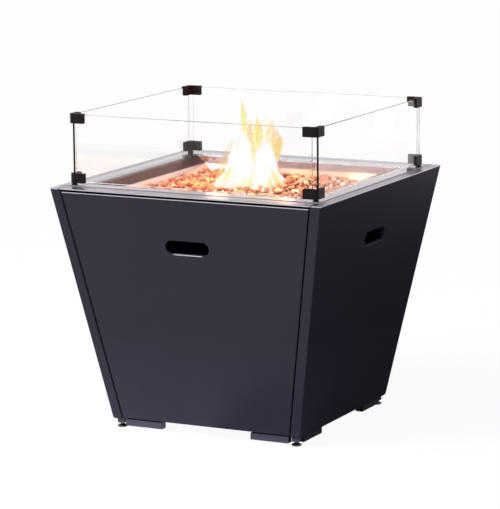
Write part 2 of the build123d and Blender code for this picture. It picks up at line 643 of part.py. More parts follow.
def igniter():
    """Piezo igniter with its push button, the spark electrode and the thermocouple."""
    barrel = along(BUTTON_X, BRACKET_FRONT, BARREL_BACK, BARREL_RADIUS)
    bezel = along(BUTTON_X, BRACKET_FRONT - 3, BRACKET_FRONT, BARREL_RADIUS + 4)
    well = along(BUTTON_X, BRACKET_FRONT - 5, BUTTON_BACK + BUTTON_RADIUS, BUTTON_RADIUS + 0.3)
    parts["igniter_body"] = barrel + bezel - well
    button = along(BUTTON_X, BRACKET_FRONT - BUTTON_OUT, BUTTON_BACK, BUTTON_RADIUS)
    rim = button.edges().filter_by(GeomType.CIRCLE).sort_by(Axis.Y)[0]
    parts["igniter_button"] = fillet(rim, 1.5)
    for name, x, sleeve, tip, radius in (("spark_electrode", ELECTRODE_X, 30, 44, 1.2),
                                         ("thermocouple", THERMOCOUPLE_X, 22, 38, 2.5)):
        probe = upright(x, PROBE_Y, PAN_FLOOR - 12, PAN_FLOOR + sleeve, PROBE_RADIUS)
        parts[name] = probe + upright(x, PROBE_Y, PAN_FLOOR + sleeve, PAN_FLOOR + tip, radius)


# ------------------------------------------------------------------ wind guard
def guard_glass():
    """Four toughened panes that stop short of the corners."""
    half = GLASS / 2
    long_pane = slab(-PANE_HALF_X, PANE_HALF_X, -GLASS_Y - half, -GLASS_Y + half, GLASS_BOTTOM, GLASS_TOP)
    short_pane = slab(GLASS_X - half, GLASS_X + half, -PANE_HALF_Y, PANE_HALF_Y, GLASS_BOTTOM, GLASS_TOP)
    long_pane = chamfer(long_pane.edges().group_by(Axis.Z)[-1], 0.6)
    short_pane = chamfer(short_pane.edges().group_by(Axis.Z)[-1], 0.6)
    parts["glass_front"] = long_pane
    parts["glass_rear"] = mirror(long_pane, Plane.XZ)
    parts["glass_right"] = short_pane
    parts["glass_left"] = mirror(short_pane, Plane.YZ)


def clip_block(z0, z1):
    """An angle bracket for the front right corner, its outer corner cut off."""
    x, y, leg, thick, cut = GUARD_X, -GUARD_Y, CLIP_LEG, CLIP_THICK, CLIP_CHAMFER
    outline = Polyline((x, y + cut), (x, y + leg), (x - thick, y + leg), (x - thick, y + thick),
                       (x - leg, y + thick), (x - leg, y), (x - cut, y), close=True)
    return extrude(Pos(0, 0, z0) * make_face(outline), amount=z1 - z0)


def clip_screw(base, way):
    """A grub screw whose head stands on the clip's inner face and whose shank pinches the pane."""
    head = rod(base, base + way * CLIP_HEAD, 3.6) - rod(base + way * 0.6, base + way * 2, 1.5)
    return head + rod(base - way * (GLASS_SET_IN - 0.02), base, SCREW_RADIUS)


def at_corner(shape, corner):
    """Moves a front right corner piece to another corner."""
    sx, sy = CORNERS[corner]
    shape = shape if sy < 0 else mirror(shape, Plane.XZ)
    return shape if sx > 0 else mirror(shape, Plane.YZ)


def guard_clips():
    """Top and bottom corner clips, stems, pads and the screws that pinch the glass."""
    screws, pads = [], []
    pad_low = RIM_TOP + PAN_SHEET
    pad = upright(STEM_X, -STEM_Y, pad_low, pad_low + PAD_HEIGHT, STEM_RADIUS + 1.5)
    middle = CLIP_LEG - 10
    levels = {"top": GLASS_TOP + CLIP_CAP - CLIP_HEIGHT, "bottom": GLASS_BOTTOM - CLIP_CAP}
    for level, low in levels.items():
        clip = clip_block(low, low + CLIP_HEIGHT) - parts["glass_front"] - parts["glass_right"]
        centre = low + CLIP_HEIGHT / 2
        pair = []
        for base, way in ((Vector(GUARD_X - middle, -CLIP_INNER_Y, centre), Vector(0, 1, 0)),
                          (Vector(CLIP_INNER_X, -GUARD_Y + middle, centre), Vector(-1, 0, 0))):
            clip -= rod(base + way, base - way * (GLASS_SET_IN - 0.01), SCREW_RADIUS + TIGHT_GAP)
            pair.append(clip_screw(base, way))
        if level == "bottom":
            clip += upright(STEM_X, -STEM_Y, pad_low + PAD_HEIGHT, low, STEM_RADIUS)
        for corner in CORNERS:
            parts["clip_" + level + "_" + corner] = at_corner(clip, corner)
            screws += [at_corner(screw, corner) for screw in pair]
            if level == "bottom":
                pads.append(at_corner(pad, corner))
    parts["clip_screws"] = group(screws)
    parts["clip_pads"] = group(pads)


for make in (top_frame, side_panels, rear_panel, frame_screws, corner_posts, base_plate, kick_strips,
             bottle_ring, feet, door, door_hinges, door_catches, burner_tray, rock_grate, burner_ring,
             lava_rocks, heat_shield, gas_train, control_bracket, gas_valve, control_knob,
             igniter, guard_glass, guard_clips):
    make()

os.makedirs("parts", exist_ok=True)
for name, shape in parts.items():
    export_step(shape, "parts/" + name + ".step")
print(len(parts), "nodes, lean", round(math.degrees(LEAN), 2), "degrees")
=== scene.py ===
# %% [markdown]
# # A gas fire pit
# The object is a tapered steel cabinet with a door, a stainless pan of glowing lava rock, and a
# glass wind guard held by black corner clips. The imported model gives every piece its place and
# size, so this script only dresses it: it finishes the steel, models the glass, the stones and
# the flames, and sets up a plain studio round them.

# %% Load the frame
import json
import math
import random

import bmesh
import bpy
from mathutils import Matrix, Vector, noise


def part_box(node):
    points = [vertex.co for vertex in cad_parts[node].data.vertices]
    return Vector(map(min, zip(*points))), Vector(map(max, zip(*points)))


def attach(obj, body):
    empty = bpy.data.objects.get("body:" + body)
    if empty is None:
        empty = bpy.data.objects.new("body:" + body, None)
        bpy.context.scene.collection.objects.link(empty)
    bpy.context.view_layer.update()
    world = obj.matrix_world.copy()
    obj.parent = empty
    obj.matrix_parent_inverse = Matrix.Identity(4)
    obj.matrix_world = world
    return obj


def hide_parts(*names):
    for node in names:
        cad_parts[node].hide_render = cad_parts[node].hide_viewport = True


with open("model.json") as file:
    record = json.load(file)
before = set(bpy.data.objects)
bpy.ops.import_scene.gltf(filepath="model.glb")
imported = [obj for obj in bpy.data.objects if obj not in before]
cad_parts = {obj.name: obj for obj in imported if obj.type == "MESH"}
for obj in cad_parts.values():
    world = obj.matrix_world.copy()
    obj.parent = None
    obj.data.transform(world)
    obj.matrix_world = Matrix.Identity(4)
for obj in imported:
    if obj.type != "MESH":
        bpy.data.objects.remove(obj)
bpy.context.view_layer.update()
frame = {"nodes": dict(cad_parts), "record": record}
nodes = frame["nodes"]

# %% [markdown]
# ## Measures
# Each value below is read from the frame, so that a change in the model carries through.
# The rim is the square plate on the cabinet, and the pan hangs in it by its flange.

# %% Read the places that later cells need
rim_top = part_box("top_frame")[1].z
door_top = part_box("door_panel")[1].z
grate_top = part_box("rock_grate")[1].z
tray_low, tray_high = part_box("burner_tray")
for label, level in (("rim", rim_top), ("door top", door_top), ("grate", grate_top)):
    print(label, "at", round(level, 3))

# %% [markdown]
# ## Camera
# A long lens from about seven metres keeps the cabinet's edges nearly parallel. The camera is
# turned by three angles in order: up from straight down, then about the vertical, and last a
# small roll about its own line of sight.

# %% Place the camera
camera_place = Vector((2.9673, -5.9636, 1.6034))
camera_pitch = math.radians(10.268)
camera_turn = math.radians(26.461)
camera_roll = math.radians(-0.486)
camera_data = bpy.data.cameras.new("studio_camera")
camera_data.sensor_width = 36
camera_data.lens = 198.57
camera = bpy.data.objects.new("studio_camera", camera_data)
bpy.context.scene.collection.objects.link(camera)
aim = Matrix.Rotation(camera_turn, 4, "Z") @ Matrix.Rotation(math.pi / 2 - camera_pitch, 4, "X")
camera.matrix_world = Matrix.Translation(camera_place) @ aim @ Matrix.Rotation(camera_roll, 4, "Z")
bpy.context.scene.camera = camera
print("the camera stands", round(camera_place.length, 2), "metres from the cabinet's foot")

# %% [markdown]
# ## Studio
# The world is white where the camera, a reflection or a pane of glass looks at it, and a softer
# grey where it only lights things. Light Path tells the two apart. A broad soft box hangs over
# the left shoulder and a soft sun comes from the same side, so that the door is brighter than the
# right side. Two small lamps in the pan stand for the light of the fire.

# %% Build the world
world = bpy.data.worlds.new("studio")
bpy.context.scene.world = world
world.use_nodes = True
world_nodes, world_links = world.node_tree.nodes, world.node_tree.links
backdrop = world_nodes["Background"]
backdrop.inputs["Color"].default_value = (1, 1, 1, 1)
ambient = world_nodes.new("ShaderNodeBackground")
ambient.inputs["Color"].default_value = (0.97, 0.98, 1.0, 1)
ambient.inputs["Strength"].default_value = 0.28
path = world_nodes.new("ShaderNodeLightPath")
seen = world_nodes.new("ShaderNodeMath")
seen.operation = "MAXIMUM"
seen_too = world_nodes.new("ShaderNodeMath")
seen_too.operation = "MAXIMUM"
choose = world_nodes.new("ShaderNodeMixShader")
# seen is 1 for a camera or glossy ray, and seen_too also for one that has passed through glass
world_links.new(path.outputs["Is Camera Ray"], seen.inputs[0])
world_links.new(path.outputs["Is Glossy Ray"], seen.inputs[1])
world_links.new(seen.outputs[0], seen_too.inputs[0])
world_links.new(path.outputs["Is Transmission Ray"], seen_too.inputs[1])
world_links.new(seen_too.outputs[0], choose.inputs["Fac"])
world_links.new(ambient.outputs[0], choose.inputs[1])
world_links.new(backdrop.outputs[0], choose.inputs[2])
world_links.new(choose.outputs[0], world_nodes["World Output"].inputs["Surface"])
print("world nodes:", len(world_nodes))


# %% Add soft lamps
def lamp(name, place, target, size, power):
    """A square soft box that points at a target."""
    data = bpy.data.lights.new(name, "AREA")
    data.shape = "SQUARE"
    data.size = size
    data.energy = power
    obj = bpy.data.objects.new(name, data)
    obj.location = place
    obj.rotation_euler = (Vector(target) - Vector(place)).to_track_quat("-Z", "Y").to_euler()
    bpy.context.scene.collection.objects.link(obj)
    return obj


# both studio lamps stay out of reflections, where they would burn out the polished pan
soft_box = lamp("overhead", (-1.4, -1.8, 3.1), (0, 0, rim_top), size=1.4, power=75)
soft_box.visible_glossy = False
sun_way = Vector((0.52, 0.64, -0.56))
sun = bpy.data.lights.new("key", "SUN")
sun.energy = 2.0
sun.angle = math.radians(28)
sun_lamp = bpy.data.objects.new("key", sun)
sun_lamp.rotation_euler = sun_way.to_track_quat("-Z", "Y").to_euler()
sun_lamp.visible_glossy = False
bpy.context.scene.collection.objects.link(sun_lamp)

# %% Add the light of the fire
# one lamp lights the stones, and a weaker one gives the warm sheen on the steel
fire_height = rim_top + 0.06
for name, watts, radius, sheen in (("fire_glow", 9, 0.06, False), ("fire_sheen", 1.3, 0.11, True)):
    fire = bpy.data.lights.new(name, "POINT")
    fire.energy = watts
    fire.color = (1.0, 0.62, 0.40)
    fire.shadow_soft_size = radius
    fire_lamp = bpy.data.objects.new(name, fire)
    fire_lamp.location = (0, 0, fire_height)
    fire_lamp.visible_camera = False
    fire_lamp.visible_transmission = False
    fire_lamp.visible_glossy = sheen
    bpy.context.scene.collection.objects.link(fire_lamp)
bpy.context.scene.view_settings.view_transform = "Standard"
# dozens of thin flame shells lie behind one another, and a ray has to get through them all
bpy.context.scene.cycles.transparent_max_bounces = 32
print("lamps:", len(bpy.data.lights))

# %% [markdown]
# ## Nodes by hand
# Every finish below is a tree of nodes. These helpers make one node, join two sockets and start a
# material, so that each finish reads as a list of what it is made of.


# %% Helpers for node trees
def add(tree, kind, **settings):
    """Makes one node and sets its options."""
    made = tree.nodes.new("ShaderNode" + kind)
    for key, value in settings.items():
        setattr(made, key, value)
    return made


def wire(tree, source, target):
    """Feeds a socket, or sets it to a plain value."""
    if isinstance(source, bpy.types.NodeSocket):
        tree.links.new(source, target)
    else:
        target.default_value = source


def new_group(name, inputs, outputs):
    """A shader node group with named sockets. Returns its tree, its input and its output node."""
    tree = bpy.data.node_groups.new(name, "ShaderNodeTree")
    kinds = {"F": "NodeSocketFloat", "V": "NodeSocketVector", "C": "NodeSocketColor"}
    for label, kind in inputs:
        tree.interface.new_socket(label, in_out="INPUT", socket_type=kinds[kind])
    for label, kind in outputs:
        tree.interface.new_socket(label, in_out="OUTPUT", socket_type=kinds[kind])
    return tree, tree.nodes.new("NodeGroupInput"), tree.nodes.new("NodeGroupOutput")


def use(tree, group, **values):
    """Places a node group and sets or feeds its inputs."""
    made = add(tree, "Group", node_tree=group)
    for label, value in values.items():
        wire(tree, value, made.inputs[label.replace("_", " ")])
    return made


def new_finish(name, rough=0.5, metal=0.0, specular=0.5):
    """A material with its Principled shader and the object's own coordinates."""
    finish = bpy.data.materials.new(name)
    finish.use_nodes = True
    tree = finish.node_tree
    shader = tree.nodes["Principled BSDF"]
    shader.inputs["Roughness"].default_value = rough
    shader.inputs["Metallic"].default_value = metal
    shader.inputs["Specular IOR Level"].default_value = specular
    place = add(tree, "TexCoord").outputs["Object"]
    return finish, tree, shader, place


def maths(tree, operation, a, b=0.0, c=0.0):
    """One Math node."""
    made = add(tree, "Math", operation=operation)
    for socket, value in zip(made.inputs, (a, b, c)):
        wire(tree, value, socket)
    return made.outputs[0]


def mix(tree, factor, a, b, blend="MIX"):
    """One Mix node. Its colour version uses sockets 0, 6 and 7, and output 2."""
    made = add(tree, "Mix", data_type="RGBA", blend_type=blend)
    wire(tree, factor, made.inputs[0])
    wire(tree, a, made.inputs[6])
    wire(tree, b, made.inputs[7])
    return made.outputs[2]


def spread(tree, value, low, high, to_low=0.0, to_high=1.0):
    """A Map Range node: low..high becomes to_low..to_high, clamped."""
    made = add(tree, "MapRange")
    for socket, number in zip(made.inputs, (value, low, high, to_low, to_high)):
        wire(tree, number, socket)
    return made.outputs[0]


def brightness(tree, level):
    """A grey colour of the given level, to multiply another colour by."""
    grey = add(tree, "CombineColor")
    for channel in grey.inputs:
        wire(tree, level, channel)
    return grey.outputs[0]


def parts_of(tree, vector):
    """The three numbers of a vector, by their names X, Y and Z."""
    made = add(tree, "SeparateXYZ")
    wire(tree, vector, made.inputs[0])
    return made.outputs


def ramp(tree, value, *stops):
    """A Color Ramp. Each stop is (place, red, green, blue), the first at 0 and the last at 1."""
    made = add(tree, "ValToRGB")
    elements = made.color_ramp.elements
    elements[0].color = (*stops[0][1:], 1)
    elements[1].color = (*stops[-1][1:], 1)
    for place, *colour in stops[1:-1]:
        elements.new(place).color = (*colour, 1)
    wire(tree, value, made.inputs["Fac"])
    return made.outputs["Color"]


# %% [markdown]
# ## Effects shared by several finishes
# Real sheet metal is never one even colour. Cloudy patches of slightly different tone, the fine
# pebbling of sprayed powder, the lines of a brushing belt, bright rubbed edges, and a paler,
# rougher tone low down are each one node group, placed in every finish with its own values.


# %% Patchy tone
patches, inlet, outlet = new_group(
    "patchy tone",
    [("Vector", "V"), ("Color", "C"), ("Scale", "F"), ("Amount", "F")],
    [("Color", "C"), ("Mask", "F")])
cloud = add(patches, "TexNoise")
cloud.inputs["Detail"].default_value = 4
wire(patches, inlet.outputs["Vector"], cloud.inputs["Vector"])
wire(patches, inlet.outputs["Scale"], cloud.inputs["Scale"])
swing = maths(patches, "SUBTRACT", cloud.outputs["Fac"], 0.5)
level = maths(patches, "MULTIPLY_ADD", swing, inlet.outputs["Amount"], 1.0)
toned = mix(patches, 1.0, inlet.outputs["Color"], brightness(patches, level), "MULTIPLY")
wire(patches, toned, outlet.inputs["Color"])
wire(patches, cloud.outputs["Fac"], outlet.inputs["Mask"])

# %% Powder pebbling
pebbling, inlet, outlet = new_group(
    "powder pebbling",
    [("Vector", "V"), ("Scale", "F"), ("Height", "F")],
    [("Normal", "V"), ("Mask", "F")])
grain = add(pebbling, "TexNoise")
grain.inputs["Detail"].default_value = 3
grain.inputs["Roughness"].default_value = 0.6
wire(pebbling, inlet.outputs["Vector"], grain.inputs["Vector"])
wire(pebbling, inlet.outputs["Scale"], grain.inputs["Scale"])
lift = add(pebbling, "Bump")
lift.inputs["Distance"].default_value = 0.0004
wire(pebbling, inlet.outputs["Height"], lift.inputs["Strength"])
wire(pebbling, grain.outputs["Fac"], lift.inputs["Height"])
wire(pebbling, lift.outputs[0], outlet.inputs["Normal"])
wire(pebbling, grain.outputs["Fac"], outlet.inputs["Mask"])

# %% Brushed lines
brushing, inlet, outlet = new_group(
    "brushed lines",
    [("Vector", "V"), ("Stretch", "V"), ("Height", "F")],
    [("Normal", "V"), ("Mask", "F")])
pull = add(brushing, "VectorMath", operation="MULTIPLY")
wire(brushing, inlet.outputs["Vector"], pull.inputs[0])
wire(brushing, inlet.outputs["Stretch"], pull.inputs[1])
lines = add(brushing, "TexNoise")
lines.inputs["Scale"].default_value = 1.0
lines.inputs["Detail"].default_value = 5
wire(brushing, pull.outputs[0], lines.inputs["Vector"])
ridge = add(brushing, "Bump")
ridge.inputs["Distance"].default_value = 0.0002
wire(brushing, inlet.outputs["Height"], ridge.inputs["Strength"])
wire(brushing, lines.outputs["Fac"], ridge.inputs["Height"])
wire(brushing, ridge.outputs[0], outlet.inputs["Normal"])
wire(brushing, lines.outputs["Fac"], outlet.inputs["Mask"])

# %% Rubbed edges
rubbing, inlet, outlet = new_group(
    "rubbed edges", [("Vector", "V"), ("Radius", "F"), ("Amount", "F")], [("Mask", "F")])
rounded = add(rubbing, "Bevel", samples=4)
wire(rubbing, inlet.outputs["Radius"], rounded.inputs["Radius"])
facing = add(rubbing, "NewGeometry")
turned = add(rubbing, "VectorMath", operation="DOT_PRODUCT")
wire(rubbing, rounded.outputs[0], turned.inputs[0])
wire(rubbing, facing.outputs["Normal"], turned.inputs[1])
# the rounded normal turns away from the true one only beside an edge
edge = spread(rubbing, turned.outputs["Value"], 0.995, 0.90)
chips = add(rubbing, "TexNoise")
chips.inputs["Scale"].default_value = 60
chips.inputs["Detail"].default_value = 4
wire(rubbing, inlet.outputs["Vector"], chips.inputs["Vector"])
broken = spread(rubbing, chips.outputs["Fac"], 0.42, 0.62)
worn = maths(rubbing, "MULTIPLY", maths(rubbing, "MULTIPLY", edge, broken), inlet.outputs["Amount"])
wire(rubbing, worn, outlet.inputs["Mask"])

# %% Paler, rougher tone near the floor
low_paling, inlet, outlet = new_group(
    "paler low down", [("Vector", "V"), ("Height", "F"), ("Amount", "F")], [("Mask", "F")])
low = spread(low_paling, parts_of(low_paling, inlet.outputs["Vector"])["Z"], inlet.outputs["Height"], 0.0)
specks = add(low_paling, "TexNoise")
specks.inputs["Scale"].default_value = 14
specks.inputs["Detail"].default_value = 6
wire(low_paling, inlet.outputs["Vector"], specks.inputs["Vector"])
speckled = spread(low_paling, specks.outputs["Fac"], 0.2, 0.9, 0.4, 0.8)
speckled_low = maths(low_paling, "MULTIPLY", low, speckled)
wire(low_paling, maths(low_paling, "MULTIPLY", speckled_low, inlet.outputs["Amount"]), outlet.inputs["Mask"])
print("shared effects:", len(bpy.data.node_groups))


# %% [markdown]
# ## Painted steel
# Cabinet, posts, strips and clips are all sprayed with powder and baked. The recipe is the same
# each time: a base colour with cloudy patches, pebbling in the surface, edges rubbed a little
# lighter, and a paler, bluer and rougher tone low down. Only the numbers differ, so one function
# makes them all.
#
# The door has two folds that catch the light: one along its top, right under the rim's shadow,
# and the lip of its hand slot. They are thinner than the imported mesh shows, so masks paint
# their highlights on, and the shade in the gap under the rim is painted black.


# %% Painted highlights on the door's folds, and painted shade in the gap under the rim
# all in metres; the first four lie below the door's top edge: where the fold's painted highlight
# starts and is full, and where the painted shade of the gap is full and starts
fold_from, fold_full, gap_full, gap_from = 0.0044, 0.0034, 0.0016, 0.0024
slot_lip_height, slot_lip_half, slot_reach, slot_fade = 0.4478, 0.0012, 0.040, 0.008
painted_highlight_colour, painted_gap_shade = (0.46, 0.46, 0.50, 1), (0.002, 0.002, 0.002, 1)


def painted_door_lines(tree, place, colour):
    """The colour with the painted highlights and the painted gap shade added, and that shade's
    mask.
    """
    spot = parts_of(tree, place)
    across, height = maths(tree, "ABSOLUTE", spot["X"]), spot["Z"]
    fold = maths(tree, "MULTIPLY",
                 spread(tree, height, door_top - fold_from, door_top - fold_full),
                 spread(tree, height, door_top - gap_full, door_top - gap_from))
    lip = maths(tree, "COMPARE", height, slot_lip_height, slot_lip_half)
    lip = maths(tree, "MULTIPLY", lip, spread(tree, across, slot_reach, slot_reach - slot_fade))
    # painted highlights: masks lighten the top fold and the hand slot's lip
    painted_highlight_mask = maths(tree, "MULTIPLY", maths(tree, "MAXIMUM", fold, lip), 0.9)
    # painted shade: the gap under the rim turns black
    painted_gap_shade_mask = spread(tree, height, door_top - gap_from, door_top - gap_full)
    colour = mix(tree, painted_highlight_mask, colour, painted_highlight_colour)
    return mix(tree, painted_gap_shade_mask, colour, painted_gap_shade), painted_gap_shade_mask


# %% Recipe for powder coat
# below this height the coat turns lighter, bluer and rougher towards the floor
paling_height, low_pale_colour = 0.26, (0.22, 0.23, 0.36, 1)


def powder_coat(name, colour, rough, edge_colour,
                peel=0.35, wear=0.35, paling_amount=0.10, specular=0.4, door=False):
    """Sprayed and baked powder. The door's coat adds painted highlights on its folds and painted
    shade under the rim.
    """
    finish, tree, shader, place = new_finish(name, rough, 0.0, specular)
    tone = use(tree, patches, Vector=place, Color=(*colour, 1), Scale=5.0, Amount=0.22)
    skin = use(tree, pebbling, Vector=place, Scale=900.0, Height=peel)
    rubbed = use(tree, rubbing, Vector=place, Radius=0.0016, Amount=wear)
    paled_low = use(tree, low_paling, Vector=place, Height=paling_height, Amount=paling_amount)
    worn_colour = mix(tree, rubbed.outputs["Mask"], tone.outputs["Color"], (*edge_colour, 1))
    # the grain swings the roughness by 0.06 either way, and the paler tone low down adds up to 0.4
    # to it
    gloss = maths(tree, "MULTIPLY_ADD", skin.outputs["Mask"], 0.12, rough - 0.06)
    gloss = maths(tree, "MULTIPLY_ADD", paled_low.outputs["Mask"], 0.4, gloss)
    if door:
        worn_colour, painted_gap_shade_mask = painted_door_lines(tree, place, worn_colour)
        # painted shade: the gap under the rim is black and fully rough, and as a black metal it has
        # no clear gloss coat either
        gloss = maths(tree, "MAXIMUM", gloss, painted_gap_shade_mask)
        wire(tree, painted_gap_shade_mask, shader.inputs["Metallic"])
    paled_colour = mix(tree, paled_low.outputs["Mask"], worn_colour, low_pale_colour)
    wire(tree, paled_colour, shader.inputs["Base Color"])
    wire(tree, gloss, shader.inputs["Roughness"])
    wire(tree, skin.outputs["Normal"], shader.inputs["Normal"])
    return finish


# %% Powder-coated finishes
cabinet_paint = {"colour": (0.017, 0.014, 0.027), "rough": 0.38, "edge_colour": (0.07, 0.07, 0.085),
                 "specular": 0.22}
finishes = {
    "panel_coat": powder_coat("cabinet powder coat", **cabinet_paint),
    "door_coat": powder_coat("door powder coat with painted highlights", **cabinet_paint, door=True),
    "frame_paint": powder_coat(
        "inner frame paint", (0.012, 0.012, 0.013), 0.5, (0.05, 0.05, 0.05), paling_amount=0.05),
    # painted reflection: the strips are the cabinet's steel, made lighter as if mirroring the
    # backdrop
    "strip_steel": powder_coat(
        "kick strip coat with painted reflection", (0.044, 0.041, 0.068), 0.45, (0.16, 0.16, 0.18), wear=0.4, paling_amount=0.15),
    "clip_black": powder_coat(
        "clip coat", (0.008, 0.005, 0.005), 0.42, (0.06, 0.05, 0.05),
        wear=0.25, paling_amount=0.0, specular=0.14),
}
print("powder-coated finishes:", len(finishes))


# %% [markdown]
# ## Bare metals
# The rim and pan are stainless steel. A brushing belt leaves long thin lines, so a noise texture
# is squeezed hard across the lines and hardly at all along them. Near the fire the steel has been
# hot enough to tint straw and brown; that band is deepened with painted shade, and the pan's walls
# are painted brighter where the fire lights them. Turned brass and zinc-plated screws use the same
# recipe.


# %% Brushed metal finishes
def brushed_metal(name, colour, rough, stretch, height=0.25, cloudiness=0.12):
    """Belt-brushed metal. Stretch says how tightly the noise is squeezed along X, Y and Z."""
    finish, tree, shader, place = new_finish(name, rough, 1.0)
    tone = use(tree, patches, Vector=place, Color=(*colour, 1), Scale=7.0, Amount=cloudiness)
    lined = use(tree, brushing, Vector=place, Stretch=stretch, Height=height)
    streaks = maths(tree, "MULTIPLY_ADD", lined.outputs["Mask"], 0.25, 0.875)
    streaked = mix(tree, 1.0, tone.outputs["Color"], brightness(tree, streaks), "MULTIPLY")
    gloss = maths(tree, "MULTIPLY_ADD", lined.outputs["Mask"], 0.16, rough - 0.08)
    wire(tree, streaked, shader.inputs["Base Color"])
    wire(tree, gloss, shader.inputs["Roughness"])
    wire(tree, lined.outputs["Normal"], shader.inputs["Normal"])
    return finish, tree, shader, place, streaked


turned_metals = (
    # slot, name, colour, roughness, stretch, cloudiness
    ("foot_zinc", "bright zinc", (0.50, 0.50, 0.52), 0.25, (300, 300, 900), 0.30),
    ("black_zinc", "blackened zinc", (0.13, 0.125, 0.12), 0.28, (300, 300, 900), 0.30),
    ("brass", "turned brass", (0.60, 0.42, 0.17), 0.28, (400, 60, 400), 0.12),
)
for slot, name, colour, rough, stretch, cloudiness in turned_metals:
    finishes[slot] = brushed_metal(name, colour, rough, stretch, cloudiness=cloudiness)[0]
print("turned metals:", len(turned_metals))

# %% Rim steel with painted shade along the joint round the pan's flange
joint_out, joint_half, joint_shade_colour = 0.0015, 0.0022, (0.10, 0.09, 0.10, 1)
finishes["rim_steel"], tree, shader, place, plain = brushed_metal(
    "brushed rim", (0.62, 0.58, 0.655), 0.30, (25, 900, 900))
# painted shade: a dark line on the rim along the edge of the pan's flange
joint_shades = []
for axis, flange_edge in (("X", tray_high.x), ("Y", tray_high.y)):
    away = maths(tree, "ABSOLUTE", parts_of(tree, place)[axis])
    joint_shades.append(maths(tree, "COMPARE", away, flange_edge + joint_out, joint_half))
joint_shade = maths(tree, "MAXIMUM", *joint_shades)
wire(tree, mix(tree, joint_shade, plain, joint_shade_colour), shader.inputs["Base Color"])

# %% Pan steel: heat tint, painted shade, and painted light from the fire
slope_middle, slope_half, slope_painted_shade = -0.2595, 0.0225, (0.30, 0.055, 0.008, 1)
finishes["pan_steel"], tree, shader, place, plain = brushed_metal(
    "pan steel", (0.62, 0.575, 0.62), 0.20, (40, 700, 700), height=0.2)
spot = parts_of(tree, place)
depth_in_pan = spread(tree, spot["Z"], tray_high.z, tray_low.z)
# from the flange at 0 down to the pan's floor at 1: a dark brown band of heat tint and painted
# shade under the flange, colours over 1 as painted fire light on the walls, then browner and
# darker towards the floor
tint_and_painted_light = ramp(tree, depth_in_pan,
             (0.0, 1.0, 1.0, 1.0), (0.03, 1.0, 1.0, 1.0), (0.05, 0.66, 0.39, 0.34),
             (0.18, 0.74, 0.42, 0.35), (0.24, 1.50, 1.16, 0.92), (0.5, 1.55, 1.16, 0.84),
             (1.0, 0.40, 0.22, 0.16))
tinted_and_painted = mix(tree, 1.0, plain, tint_and_painted_light, "MULTIPLY")
# the slope on the left is browner: its heat tint deepened with painted shade
slope_shade_mask = maths(tree, "COMPARE", spot["X"], slope_middle, slope_half)
slope_shade_mask = maths(tree, "MULTIPLY", slope_shade_mask, spread(tree, depth_in_pan, 0.02, 0.06))
wire(tree, mix(tree, slope_shade_mask, tinted_and_painted, slope_painted_shade), shader.inputs["Base Color"])
print("finishes so far:", len(finishes))

# %% [markdown]
# ## Plastics, rubber and ceramic
# Small parts behind the door. Moulded plastic has a fine spark-eroded grain, rubber is duller and
# cloudier, and the igniter's ceramic sleeve is glazed, so it gets a clear coat.


# %% Moulded finishes
def moulded(name, colour, rough, height=0.3, coat=0.0):
    """Moulded plastic, rubber or glazed ceramic."""
    finish, tree, shader, place = new_finish(name, rough)
    tone = use(tree, patches, Vector=place, Color=(*colour, 1), Scale=20.0, Amount=0.25)
    skin = use(tree, pebbling, Vector=place, Scale=500.0, Height=height)
    gloss = maths(tree, "MULTIPLY_ADD", skin.outputs["Mask"], 0.2, rough - 0.1)
    wire(tree, tone.outputs["Color"], shader.inputs["Base Color"])
    wire(tree, gloss, shader.inputs["Roughness"])
    wire(tree, skin.outputs["Normal"], shader.inputs["Normal"])
    shader.inputs["Coat Weight"].default_value = coat
    return finish


finishes["pad_rubber"] = moulded("black rubber", (0.018, 0.018, 0.018), 0.75)
finishes["knob_plastic"] = moulded("knob plastic", (0.022, 0.022, 0.024), 0.45)
finishes["button_plastic"] = moulded("button plastic", (0.35, 0.018, 0.012), 0.3, coat=0.4)
finishes["ceramic"] = moulded("glazed ceramic", (0.78, 0.74, 0.66), 0.3, height=0.1, coat=0.8)
print("finishes so far:", len(finishes))

# %% [markdown]
# ## Glass
# Toughened panes are almost clear on their faces and bottle green along their polished edges,
# because light has travelled far through the glass before it leaves there. Two materials do
# this. Shadow rays pass straight through both, as a clear pane hardly dims a lamp.


# %% Glass finishes
def clear_glass(name, colour, rough):
    """Solid glass that lets shadow rays straight through, slightly dimmed."""
    finish, tree, shader, place = new_finish(name, rough)
    shader.inputs["Transmission Weight"].default_value = 1.0
    # real glass is nearer to 1.5, and a lower value keeps reflections from veiling the fire
    shader.inputs["IOR"].default_value = 1.32
    smears = use(tree, patches, Vector=place, Color=(*colour, 1), Scale=9.0, Amount=0.01)
    smeared = spread(tree, smears.outputs["Mask"], 0.45, 0.8, rough, rough + 0.05)
    wire(tree, smears.outputs["Color"], shader.inputs["Base Color"])
    wire(tree, smeared, shader.inputs["Roughness"])
    gate = add(tree, "LightPath")
    clear = add(tree, "BsdfTransparent")
    clear.inputs["Color"].default_value = (0.94, 0.96, 0.95, 1)
    blend = add(tree, "MixShader")
    wire(tree, gate.outputs["Is Shadow Ray"], blend.inputs[0])
    wire(tree, shader.outputs[0], blend.inputs[1])
    wire(tree, clear.outputs[0], blend.inputs[2])
    wire(tree, blend.outputs[0], tree.nodes["Material Output"].inputs["Surface"])
    return finish


pane_glass = clear_glass("pane glass", (0.999, 1.0, 0.999), 0.0)
edge_glass = clear_glass("polished glass edge", (0.10, 0.16, 0.13), 0.15)
finishes["guard_glass"] = pane_glass
print("glass finishes:", pane_glass.name, "and", edge_glass.name)

# %% [markdown]
# ## Dressing the imported nodes
# Most pieces already have the right shape, so they only take their slot's finish. Their meshes
# stay as packed. A few look different from the rest of their slot, so they are named one by one:
# the door has its painted fold highlights and gap shade, the right-hand strips take the darker
# frame paint as painted shade, and what hangs under the pan is plated steel that no flame has
# tinted.

